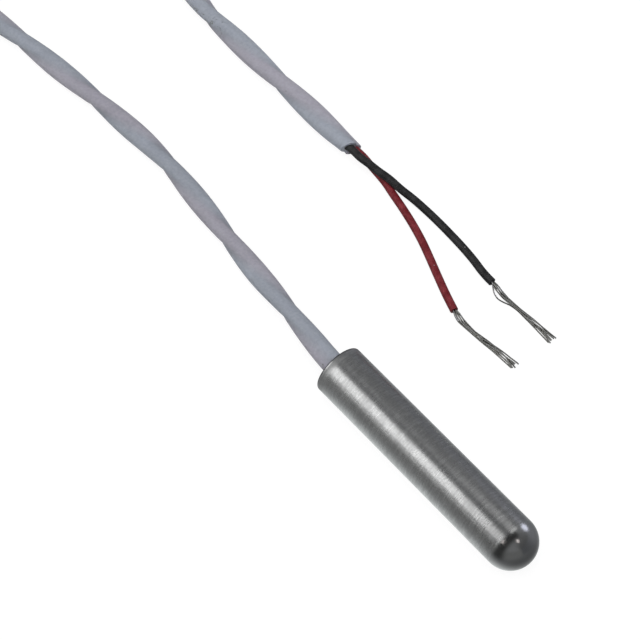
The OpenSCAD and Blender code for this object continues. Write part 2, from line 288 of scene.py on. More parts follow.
def fill_specks(bench: Bench, given: Sequence[Socket]) -> Feeds:
    """Fills the group that scatters small specks, each in the middle of its cell.

    Args:
        bench: The group's node tree.
        given: The group's input sockets.

    Returns:
        A mask that is 1 on the specks.
    """
    feeds = {"Vector": given["Spot"], "Scale": given["Cells"]}
    cells = bench.add("ShaderNodeTexVoronoi", feeds).outputs
    near = bench.rest(bench.fade(cells["Distance"], *SPECK_SPAN))
    kept = bench.maths("LESS_THAN", bench.split(cells["Color"])[0], given["Share"])
    return {"Mask": bench.times(near, kept)}


MOTTLE = Group("Mottled colour",
               {"Spot": "Vector", "Colour": "Color", "Second colour": "Color",
                "Patches": "Float", "Grains": "Float", "Contrast": "Float"},
               {"Colour": "Color"}, fill_mottle)
GRAIN = Group("Fine grain",
              {"Spot": "Vector", "Grains": "Float", "Roughness": "Float", "Spread": "Float"},
              {"Roughness": "Float", "Height": "Float"}, fill_grain)
SPECKS = Group("Scattered specks", {"Spot": "Vector", "Cells": "Float", "Share": "Float"},
               {"Mask": "Float"}, fill_specks)


@dataclass(frozen=True)
class Clouds:
    """A noise pattern with a number of cells for each millimetre, faded over a span."""

    cells: float
    span: Span
    detail: float = 2.0

    def mask(self, bench: Bench, spot: Socket) -> Socket:
        """How strong the pattern is at a spot, from 0 to 1."""
        return bench.fade(bench.noise(spot, self.cells, self.detail), *self.span)


@dataclass(frozen=True)
class Specks:
    """Specks in a share of a number of cells for each millimetre."""

    cells: float
    share: float
    strength: float = 1.0

    def mask(self, bench: Bench, spot: Socket) -> Socket:
        """How strong a speck is at a spot, from 0 to 1."""
        feeds = {"Spot": spot, "Cells": self.cells, "Share": self.share}
        return bench.times(bench.use(SPECKS, feeds)["Mask"], self.strength)


@dataclass(frozen=True)
class Finish:
    """What every finish has: a name, a pattern's place and the steps that build its material."""

    name: str = "plain"
    place: Place = Place.OBJECT
    roughness: float = 0.5
    spread: float = 0.1
    patches: float = 1.0
    contrast: float = 0.3
    grains: float = 6.0
    relief: float = 0.004
    ior: float = 1.5

    def material(self) -> Material:
        """Builds the material once, and finds it again after that.

        Returns:
            The material.
        """
        made = bpy.data.materials.get(self.name)
        if made is None:
            made = bpy.data.materials.new(self.name)
            bench = new_bench(made)
            feeds = {"IOR": self.ior, **self.fill(bench, self.spot(bench))}
            shader = bench.add("ShaderNodeBsdfPrincipled", feeds)
            bench.add("ShaderNodeOutputMaterial", {"Surface": shader.outputs["BSDF"]})
        return made

    def fill(self, bench: Bench, spot: Socket) -> Feeds:
        """Builds the pattern and gives what goes into the shader, by socket."""
        raise NotImplementedError

    def spot(self, bench: Bench) -> Socket:
        """Finds where on the piece a point lies.

        Args:
            bench: The material's node tree.

        Returns:
            Coordinates in millimetres.
        """
        if self.place is Place.CABLE:
            return bench.add("ShaderNodeAttribute", attribute_name=LAY).outputs["Vector"]
        return bench.millimetres()

    def mottled(self, bench: Bench, spot: Socket, first: Shade, second: Shade) -> Socket:
        """Varies a colour in patches and in grain.

        Args:
            bench: The material's node tree.
            spot: Coordinates in millimetres.
            first: Colour of some patches.
            second: Colour of the others.

        Returns:
            The varied colour.
        """
        feeds = {"Spot": spot, "Colour": rgba(first), "Second colour": rgba(second),
                 "Patches": self.patches, "Grains": self.grains, "Contrast": self.contrast}
        return bench.use(MOTTLE, feeds)["Colour"]

    def raised(self, bench: Bench, height: Socket, strength: float = 1.0) -> Socket:
        """The normal of a surface whose relief has this height."""
        feeds = {"Height": height, "Strength": strength, "Distance": self.relief * MM}
        return bench.add("ShaderNodeBump", feeds).outputs["Normal"]

    def grain(self, bench: Bench, spot: Socket) -> Feeds:
        """Makes the surface uneven.

        Args:
            bench: The material's node tree.
            spot: Coordinates of the grain.

        Returns:
            Roughness and normal for the shader.
        """
        feeds = {"Spot": spot, "Grains": self.grains, "Roughness": self.roughness,
                 "Spread": self.spread}
        made = bench.use(GRAIN, feeds)
        return {"Roughness": made["Roughness"], "Normal": self.raised(bench, made["Height"])}


@dataclass(frozen=True)
class BrushedSteel(Finish):
    """Stainless steel, brushed round the tube, smoother on the dome, with a painted dark reflection
    at its open edge.

    The spans along the tube are from its middle, and those at the rim from its open end.
    """

    name: str = "brushed stainless steel"
    roughness: float = 0.27
    relief: float = 0.012
    dome_roughness: float = 0.20
    rim_roughness: float = 0.55
    smudge_roughness: float = 0.05
    colour: Colour = (0.635, 0.640, 0.637)
    stain: Colour = (0.545, 0.548, 0.545)
    stained: float = 0.7
    scratch: Colour = (0.3, 0.3, 0.3)
    # edge is the colour of a painted dark reflection on the outer rim of the open end
    edge: Colour = (0.08, 0.08, 0.09)
    painted_rim_reflection_strength: float = 0.9
    dome: Span = (12.1, 13.7)
    brush: Point = (5.0, 0.7, 0.7)
    brush_span: Span = (0.72, 0.38)
    brush_depth: float = 0.36
    brush_strength: float = 0.6
    smudges: Clouds = Clouds(0.5, (0.4, 0.75), 4.0)
    grit: Clouds = Clouds(4.5, (0.3, 0.7))
    grit_depth: float = 0.2
    pits: Specks = Specks(3.2, 0.16, 0.5)
    radius: float = 3.175
    rim: float = -15.875
    painted_rim_reflection_span: Span = (0.22, 0.1)
    painted_rim_reflection_depth: Span = (0.16, 0.08)
    blunt_span: Span = (0.2, 0.35)
    blunt_end: Span = (1.2, 0.36)

    def fill(self, bench: Bench, spot: Socket) -> Feeds:
        """Adds brush lines that run round the tube and fade out on the dome.

        Args:
            bench: The material's node tree.
            spot: Coordinates in millimetres.

        Returns:
            What goes into the shader, by socket.
        """
        along, aside, above = bench.split(spot)
        dome = bench.fade(along, *self.dome)
        brushed = bench.rest(dome)
        lines = bench.noise(bench.stretched(spot, self.brush), 1.0, FINE_DETAIL)
        smudge = self.smudges.mask(bench, spot)
        stained = bench.tint(bench.times(smudge, self.stained), self.colour, self.stain)
        grit = bench.times(self.grit.mask(bench, spot), self.grit_depth)
        dark = bench.fade(lines, *self.brush_span)
        worn = bench.maths("MULTIPLY_ADD", dark, self.brush_depth, grit)
        worn = bench.times(bench.maths("ADD", self.pits.mask(bench, spot), worn), brushed)
        rise = bench.maths("SUBTRACT", above, self.radius)
        from_axis = bench.maths("MULTIPLY_ADD", rise, rise, bench.times(aside, aside))
        # Painted dark reflection: a thin dark ring on the outer rim of the open end
        outer = bench.fade(from_axis, *((self.radius - depth) ** 2 for depth in self.painted_rim_reflection_depth))
        edge = bench.times(outer, self._at_rim(bench, along, self.painted_rim_reflection_span), self.painted_rim_reflection_strength)
        blunt = bench.times(self._at_rim(bench, along, self.blunt_end),
                            self._at_rim(bench, along, self.blunt_span))
        rough = bench.between(dome, self.roughness, self.dome_roughness)
        rough = bench.between(blunt, rough, self.rim_roughness)
        return {
            "Base Color": bench.tint(edge, bench.tint(worn, stained, self.scratch), self.edge),
            "Metallic": 1.0,
            "Roughness": bench.maths("MULTIPLY_ADD", smudge, self.smudge_roughness, rough),
            "Normal": self.raised(bench, bench.times(lines, brushed), self.brush_strength),
        }

    def _at_rim(self, bench: Bench, along: Socket, span: Span) -> Socket:
        """A fade over a span that is measured from the open end."""
        return bench.fade(along, self.rim + span[0], self.rim + span[1])


@dataclass(frozen=True)
class JacketPlastic(Finish):
    """Milky jacket, bluish over the black wire and pinkish over the red one."""

    name: str = "milky jacket plastic"
    place: Place = Place.CABLE
    roughness: float = 0.55
    patches: float = 0.35
    contrast: float = 0.38
    grains: float = 3.0
    relief: float = 0.01
    ior: float = 1.36
    over_black: Colour = (0.290, 0.311, 0.354)
    over_red: Colour = (0.317, 0.308, 0.351)
    wire_span: Span = (-0.9, 0.7)
    paler: float = 1.07
    loose: Span = (500.0, 545.0)
    loose_gain: float = 0.1
    dirt: Colour = (0.12, 0.12, 0.10)
    dirt_strength: float = 0.75
    dirty_from: Span = (550.0, 552.0)
    dirty_to: Span = (558.5, 556.5)
    dirty_side: Span = (0.0, 0.5)
    smears: Clouds = Clouds(2.2, (0.54, 0.65), 4.0)
    specks: Specks = Specks(1.1, 0.015)
    milky: float = 0.35
    milky_reach: Point = (0.7, 0.7, 0.8)

    def fill(self, bench: Bench, spot: Socket) -> Feeds:
        """Adds the wires' tints, faint clouds and a few specks of dirt.

        Args:
            bench: The material's node tree.
            spot: Coordinates in millimetres, along the cable in Z.

        Returns:
            What goes into the shader, by socket.
        """
        across, above, along = bench.split(spot)
        tinted = bench.tint(bench.fade(across, *self.wire_span), self.over_red, self.over_black)
        colour = self.mottled(bench, spot, tinted, bench.scaled(tinted, self.paler))
        loose = bench.fade(along, *self.loose)
        colour = bench.scaled(colour, bench.maths("MULTIPLY_ADD", loose, self.loose_gain, 1.0))
        smears = bench.times(bench.fade(along, *self.dirty_from),
                             bench.fade(along, *self.dirty_to),
                             bench.fade(above, *self.dirty_side), self.smears.mask(bench, spot))
        dirt = bench.maths("MAXIMUM", self.specks.mask(bench, spot), smears)
        return {
            "Base Color": bench.tint(bench.times(dirt, self.dirt_strength), colour, self.dirt),
            "Subsurface Weight": self.milky,
            "Subsurface Radius": self.milky_reach,
            "Subsurface Scale": MM,
            **self.grain(bench, spot),
        }


@dataclass(frozen=True)
class MottledFinish(Finish):
    """Two mottled colours, with the streaks and specks that a finish has, and painted shade on the
    sides of strands.
    """

    colour: Colour = (0.5, 0.5, 0.5)
    second: Colour = (0.4, 0.4, 0.4)
    streak: Point | None = None
    speck: Colour = (0.15, 0.15, 0.14)
    specks: Specks | None = None
    # Colour of the painted shade on the sides of each strand, between it and its neighbours
    painted_groove_shade: Colour = (0.2, 0.19, 0.16)
    painted_groove_shade_span: Span | None = None
    metallic: float = 0.0
    clear: float = 0.0

    def fill(self, bench: Bench, spot: Socket) -> Feeds:
        """Adds patches and grain, then specks, and painted shade on each strand's sides, where its
        neighbours would shade it.

        Args:
            bench: The material's node tree.
            spot: Coordinates in millimetres.

        Returns:
            What goes into the shader, by socket.
        """
        drawn = bench.stretched(spot, self.streak) if self.streak else spot
        colour = self.mottled(bench, drawn, self.colour, self.second)
        if self.specks:
            colour = bench.tint(self.specks.mask(bench, spot), colour, self.speck)
        # Painted shade: the sides of each strand are darkened as if its neighbours shaded them
        if self.painted_groove_shade_span:
            across = bench.maths("ABSOLUTE", bench.split(spot)[0])
            colour = bench.tint(bench.fade(across, *self.painted_groove_shade_span), colour, self.painted_groove_shade)
        return {"Base Color": colour, "Metallic": self.metallic,
                "Transmission Weight": self.clear, **self.grain(bench, drawn)}


@dataclass(frozen=True)
class WireInsulation(MottledFinish):
    """Satin insulation of a wire, with scuffs along it and a few pale specks."""

    name: str = "black insulation inside"
    roughness: float = 0.46
    patches: float = 1.1
    contrast: float = 0.9
    grains: float = 7.0
    relief: float = 0.012
    ior: float = 1.36
    colour: Colour = (0.013, 0.013, 0.0135)
    second: Colour = (0.027, 0.027, 0.028)
    speck: Colour = (0.45, 0.43, 0.43)
    specks: Specks | None = Specks(2.4, 0.02, 0.7)


@dataclass(frozen=True)
class SatinMetal(MottledFinish):
    """Drawn, plated or fired metal with fine streaks."""

    name: str = "satin metal"
    roughness: float = 0.32
    patches: float = 2.2
    contrast: float = 0.25
    grains: float = 9.0
    relief: float = 0.01
    colour: Colour = (0.5, 0.5, 0.49)
    second: Colour = (0.36, 0.36, 0.34)
    streak: Point | None = (1.0, 1.0, 0.3)
    metallic: float = 1.0


@dataclass(frozen=True)
class CastSolid(MottledFinish):
    """Cement, ceramic, resin or moulded plastic, with clouds, pores or filler."""

    name: str = "cast solid"
    patches: float = 0.8
    colour: Colour = (0.36, 0.35, 0.33)
    second: Colour = (0.30, 0.29, 0.27)
    specks: Specks | None = Specks(5.0, 0.2)


@dataclass(frozen=True)
class ClearGlass(MottledFinish):
    """Glaze of the element, slightly cloudy."""

    name: str = "element glass"
    roughness: float = 0.12
    spread: float = 0.08
    patches: float = 1.5
    contrast: float = 0.1
    relief: float = 0.003
    colour: Colour = (0.62, 0.72, 0.78)
    second: Colour = (0.74, 0.80, 0.83)
    clear: float = 0.6


FINISHES: dict[Slot, Finish] = {
    Slot.SHEATH: BrushedSteel(),
    Slot.POTTING: CastSolid("potting cement", roughness=0.85),
    Slot.LINER: CastSolid("amber liner film", roughness=0.22, spread=0.05, contrast=0.1,
                          colour=(0.72, 0.42, 0.08), second=(0.64, 0.35, 0.06),
                          speck=(0.5, 0.25, 0.04), specks=Specks(5.0, 0.05), ior=1.7),
    Slot.SEAL: CastSolid("cast resin seal", roughness=0.3, colour=(0.05, 0.05, 0.055),
                         second=(0.035, 0.035, 0.038), speck=(0.015, 0.015, 0.015),
                         specks=Specks(5.0, 0.08)),
    Slot.CHIP: CastSolid("alumina ceramic", roughness=0.75, contrast=0.1,
                         colour=(0.86, 0.85, 0.82), second=(0.80, 0.79, 0.76),
                         speck=(0.6, 0.59, 0.56), specks=Specks(5.0, 0.1)),
    Slot.PLATINUM: SatinMetal("platinum film", roughness=0.4, colour=(0.55, 0.53, 0.50),
                              second=(0.45, 0.43, 0.40)),
    Slot.GLASS: ClearGlass(),
    Slot.LEAD: SatinMetal("drawn lead wire", roughness=0.25, colour=(0.70, 0.69, 0.67),
                          second=(0.60, 0.59, 0.56), streak=(0.3, 1.0, 1.0)),
    Slot.SPLICE: SatinMetal("tinned splice", roughness=0.38, colour=(0.68, 0.66, 0.62),
                            second=(0.52, 0.50, 0.46), streak=(0.5, 1.0, 1.0)),
    Slot.BLACK: WireInsulation(),
    Slot.RED: WireInsulation("red insulation inside", colour=(0.128, 0.010, 0.014),
                             second=(0.20, 0.026, 0.033)),
    Slot.CONDUCTOR: SatinMetal("tinned conductor inside", streak=(0.3, 1.0, 1.0)),
    Slot.TIE: CastSolid("natural tie plastic", roughness=0.42, patches=0.5, contrast=0.08,
                        colour=(0.82, 0.82, 0.79), second=(0.76, 0.76, 0.72),
                        speck=(0.66, 0.65, 0.6), specks=Specks(5.0, 0.03)),
}
JACKET = JacketPlastic()
BLACK = replace(FINISHES[Slot.BLACK], name="black insulation", place=Place.CABLE)
RED = replace(FINISHES[Slot.RED], name="red insulation", place=Place.CABLE)
# The strands carry painted shade on their sides
STRAND = SatinMetal("tinned strands", place=Place.CABLE, roughness=0.22, spread=0.05,
                    colour=(0.97, 0.96, 0.93), second=(0.74, 0.73, 0.69),
                    painted_groove_shade_span=(0.045, 0.08))


# ---- Shapes ----


class Route:
    """A smooth line through points, measured along its length."""

    STEPS = 12
    REACH = 0.2

    def __init__(self, points: Sequence[Vector]) -> None:
        """Draws the line.

        Args:
            points: The points that it goes through, in order.
        """
        last = len(points) - 1
        slopes = [self._slope(points, i) for i in range(last + 1)]
        spots = []
        for i in range(last):
            here, there = points[i], points[i + 1]
            reach = (there - here).length / 3
            spots += interpolate_bezier(here, here + slopes[i] * reach,
                                        there - slopes[i + 1] * reach, there, self.STEPS)[:-1]
        self.spots = np.array([*spots, points[last]], float)
        gaps = np.linalg.norm(np.diff(self.spots, axis=0), axis=1)
        self.marks = np.concatenate(([0.0], np.cumsum(gaps)))
        self.length = float(self.marks[-1])

    @staticmethod
    def _slope(points: Sequence[Vector], i: int) -> Vector:
        """Direction of the line at one of its points, between those of its two spans."""
        if i == 0:
            return (points[1] - points[0]).normalized()
        if i == len(points) - 1:
            return (points[i] - points[i - 1]).normalized()
        back, on = points[i] - points[i - 1], points[i + 1] - points[i]
        near = on.length / (back.length + on.length)
        return back.normalized() * near + on.normalized() * (1 - near)

    def spot(self, mark: float) -> Vector:
        """The point at a length from the start."""
        return Vector([float(np.interp(mark, self.marks, self.spots[:, k])) for k in range(3)])

    def frame(self, mark: float) -> Matrix:
        """Finds the place and the turn of a cross-section.

        Args:
            mark: Length from the start.

        Returns:
            A matrix with X to the side, Y up and Z along the line.
        """
        along = (self.spot(mark + self.REACH) - self.spot(mark - self.REACH)).normalized()
        side = UP.cross(along).normalized()
        turned = Matrix((side, along.cross(side), along)).transposed().to_4x4()
        return Matrix.Translation(self.spot(mark)) @ turned

    def frames(self, marks: Sequence[float]) -> list[Matrix]:
        """The frames at several lengths from the start."""
        return [self.frame(mark) for mark in marks]

    def mark_at_x(self, x: float, start: float, stop: float) -> float:
        """Finds where the line crosses a place along X.

        Args:
            x: The place.
            start: Where the search starts, as a length from the line's start.
            stop: Where it ends.

        Returns:
            The length from the start.
        """
        inside = (self.marks >= start) & (self.marks <= stop)
        nearest = np.argmin(np.abs(self.spots[inside, 0] - x))
        return float(self.marks[inside][nearest])

    def even_marks(self, step: float) -> list[float]:
        """Marks a step apart, from one end of the line to the other."""
        return [float(m) for m in np.linspace(0, self.length, round(self.length / step) + 1)]


def smoothed(value: float, low: float, high: float) -> float:
    """A number that goes smoothly from 0 to 1 while a value goes from low to high."""
    share = min(max((value - low) / (high - low), 0.0), 1.0)
    return share * share * (3 - 2 * share)


def edges_at(verts: Sequence[BMVert]) -> Ring:
    """The edges that meet in some vertices."""
    return list({edge for vert in verts for edge in vert.link_edges})


def verts_among(made: Sequence[object]) -> list[BMVert]:
    """The vertices among the things that a mesh operator made."""
    return [item for item in made if isinstance(item, BMVert)]


def raised(points: Sequence[Point], height: float) -> list[Vector]:
    """Points on a cable's middle, from points with the clearance under the cable."""
    return [Vector((x, y, z + height)) for x, y, z in points]


def new_ring(bm: BMesh, sides: int, radius: float) -> Ring:
    """Starts a round cross-section and gives its edges."""
    return edges_at(bmesh.ops.create_circle(bm, segments=sides, radius=radius)["verts"])


def ring_verts(ring: Ring) -> list[BMVert]:
    """The vertices of a ring of edges."""
    return list({vert for edge in ring for vert in edge.verts})


def sweep(bm: BMesh, ring: Ring, places: Sequence[Matrix], marks: Sequence[float]) -> Ring:
    """Carries a cross-section from place to place, and keeps how it would lie if it were straight.

    Args:
        bm: The mesh.
        ring: Edges of the cross-section, about the origin.
        places: Where each ring goes.
        marks: Each ring's length from the start.

    Returns:
        The edges of the last ring.
    """
    lay = bm.verts.layers.float_vector.get(LAY) or bm.verts.layers.float_vector.new(LAY)
    verts = ring_verts(ring)
    for vert in verts:
        vert[lay] = Vector((vert.co.x, vert.co.y, marks[0]))
    bmesh.ops.transform(bm, matrix=places[0], verts=verts)
    for before, here, mark in zip(places, places[1:], marks[1:]):
        made = bmesh.ops.extrude_edge_only(bm, edges=ring)["geom"]
        verts = verts_among(made)
        new = set(verts)
        ring = [item for item in made if isinstance(item, BMEdge) and new.issuperset(item.verts)]
        bmesh.ops.transform(bm, matrix=here @ before.inverted(), verts=verts)
        for vert in verts:
            vert[lay] = Vector((vert[lay].x, vert[lay].y, mark))
    return ring


def sweep_closed(bm: BMesh, ring: Ring, places: Sequence[Matrix], marks: Sequence[float]) -> None:
    """Sweeps a cross-section like sweep, and closes both ends with a face."""
    start = list(ring)
    for end in (sweep(bm, ring, places, marks), start):
        bmesh.ops.contextual_create(bm, geom=end)


def lathe(bm: BMesh, axis: Point, steps: int, merged: float) -> None:
    """Turns an outline once round an axis and joins vertices closer than a distance."""
    bmesh.ops.spin(bm, geom=[*bm.verts, *bm.edges], cent=(0, 0, 0), axis=axis, angle=math.tau,
                   steps=steps, use_merge=True)
    bmesh.ops.remove_doubles(bm, verts=bm.verts, dist=merged)


def bevel(bm: BMesh, edges: Ring, width: float, segments: int) -> None:
    """Rounds some edges."""
    bmesh.ops.bevel(bm, geom=edges, offset=width, segments=segments, profile=0.5,
                    affect="EDGES", material=-1)


def put_in_scene(name: str, data: bpy.types.ID) -> Object:
    """Makes an object of a mesh, a light or a camera and links it to the scene."""
    made = bpy.data.objects.new(name, data)
    bpy.context.scene.collection.objects.link(made)
    return made


def mesh_object(bm: BMesh, name: str, material: Material) -> Object:
    """Turns a mesh in millimetres into an object.

    Args:
        bm: The mesh, which is used up.
        name: Name of the object.
        material: Its material.

    Returns:
        The object.
    """
    bmesh.ops.recalc_face_normals(bm, faces=bm.faces)
    bmesh.ops.scale(bm, vec=(MM, MM, MM), verts=bm.verts)
    mesh = bpy.data.meshes.new(name)
    bm.to_mesh(mesh)
    bm.free()
    mesh.shade_smooth()
    mesh.materials.append(material)
    return put_in_scene(name, mesh)


def finish_piece(bm: BMesh, name: str, finish: Finish) -> Object:
    """Turns a mesh in millimetres into a piece of the part.

    Args:
        bm: The mesh, which is used up.
        name: Name of the piece.
        finish: What it is dressed in.

    Returns:
        The piece.
    """
    piece = mesh_object(bm, name, finish.material())
    piece.data.set_sharp_from_angle(angle=math.radians(CREASE))
    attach(piece, "root")
    LOG.info("%s: %d faces", name, len(piece.data.polygons))
    return piece


class Pen:
    """Draws an outline in the XZ plane with one moving vertex."""

    def __init__(self, bm: BMesh, x: float, z: float) -> None:
        """Sets the pen down at a place in a mesh."""
        self.bm = bm
        self.first = self.tip = bm.verts.new((x, 0, z))
        self.edges: Ring = []

    def line(self, x: float, z: float) -> None:
        """Draws a straight line to a place."""
        made = bmesh.ops.extrude_vert_indiv(self.bm, verts=[self.tip])
        self.tip = made["verts"][0]
        self.tip.co = (x, 0, z)
        self.edges += made["edges"]

    def arc(self, x: float, z: float, degrees: float, steps: int) -> None:
        """Draws an arc.

        Args:
            x: Its centre along X.
            z: Its centre along Z.
            degrees: Its angle, from X towards Z.
            steps: Number of its straight pieces.
        """
        before = set(self.bm.edges)
        made = bmesh.ops.spin(self.bm, geom=[self.tip], cent=(x, 0, z), axis=(0, -1, 0),
                              angle=math.radians(degrees), steps=steps, use_duplicate=False)
        self.tip = verts_among(made["geom_last"])[0]
        self.edges += [edge for edge in self.bm.edges if edge not in before]

    def close(self) -> None:
        """Joins the pen's place to where it was set down."""
        self.edges.append(self.bm.edges.new((self.tip, self.first)))


# ---- The object ----


@dataclass
class Sheath:
    """The steel tube with its domed closed tip."""

    diameter: float = 6.35
    length: float = 31.75
    wall: float = 0.4
    tip_wall: float = 0.5
    rim_round: float = 0.16
    bore_round: float = 0.16 / 3
    dome_steps: int = 32
    bore_dome_steps: int = 20
    rim_steps: int = 5
    bore_rim_steps: int = 3
    sides: int = 128
    merged: float = 0.0005

    @property
    def radius(self) -> float:
        """Outer radius, which is also the height of the axis."""
        return self.diameter / 2

    @property
    def mouth(self) -> Vector:
        """Middle of the open end."""
        return Vector((-self.length / 2, 0, self.radius))

    def build(self) -> Object:
        """Turns the tube's half section about its axis.

        Returns:
            The tube.
        """
        bm = bmesh.new()
        bore, x_open, x_tip = self.radius - self.wall, -self.length / 2, self.length / 2
        x_bore_dome, rim, edge = x_tip - self.tip_wall - bore, self.rim_round, self.bore_round
        pen = Pen(bm, x_tip, 0)
        pen.arc(x_tip - self.radius, 0, 90, self.dome_steps)
        pen.line(x_open + rim, self.radius)
        pen.arc(x_open + rim, self.radius - rim, 90, self.rim_steps)
        pen.line(x_open, bore + edge)
        pen.arc(x_open + edge, bore + edge, 90, self.bore_rim_steps)
        pen.line(x_bore_dome, bore)
        pen.arc(x_bore_dome, 0, -90, self.bore_dome_steps)
        lathe(bm, (1, 0, 0), self.sides, self.merged)
        bmesh.ops.translate(bm, vec=(0, 0, self.radius), verts=bm.verts)
        piece = finish_piece(bm, "probe_sheath", FINISHES[Slot.SHEATH])
        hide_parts("sheath_tube")
        return piece


@dataclass
class Coil:
    """The tied turns of the cable's spare length, with angles in degrees."""

    centre: Pair = (-111.0, 15.4)
    middle: float = 14.8
    pitch: float = 2.7
    start_angle: float = -82.5
    turned: float = 1638.0
    step: float = 9.0
    inward: tuple[Span, ...] = ((300, 360), (660, 720))
    outward: Span = (1260, 1320)
    upward: Span = (960, 1020)
    tie_angle: float = 180.0
    tie_width: float = 14.0
    tie_lift: float = 0.3

    def points(self, height: float) -> list[Vector]:
        """Lays out the turns, three side by side and two on top.

        Args:
            height: Height of the cable's middle on the surface.

        Returns:
            Points on the middle of the turns, a step apart.
        """
        count = round(self.turned / self.step)
        return [self._point(i * self.turned / count, height) for i in range(count + 1)]

    def _point(self, turned: float, height: float) -> Vector:
        """The point that is reached after an angle."""
        column = 1 - sum(smoothed(turned, *span) for span in self.inward)
        column += smoothed(turned, *self.outward)
        layer = smoothed(turned, *self.upward)
        angle = self.start_angle - turned
        from_tie = (angle - self.tie_angle + 180) % 360 - 180
        lift = self.tie_lift * math.exp(-((from_tie / self.tie_width) ** 2)) * (1 - layer)
        radius = self.middle + column * self.pitch
        turn = math.radians(angle)
        return Vector((self.centre[0] + radius * math.cos(turn),
                       self.centre[1] + radius * math.sin(turn),
                       height + layer * self.pitch + lift))


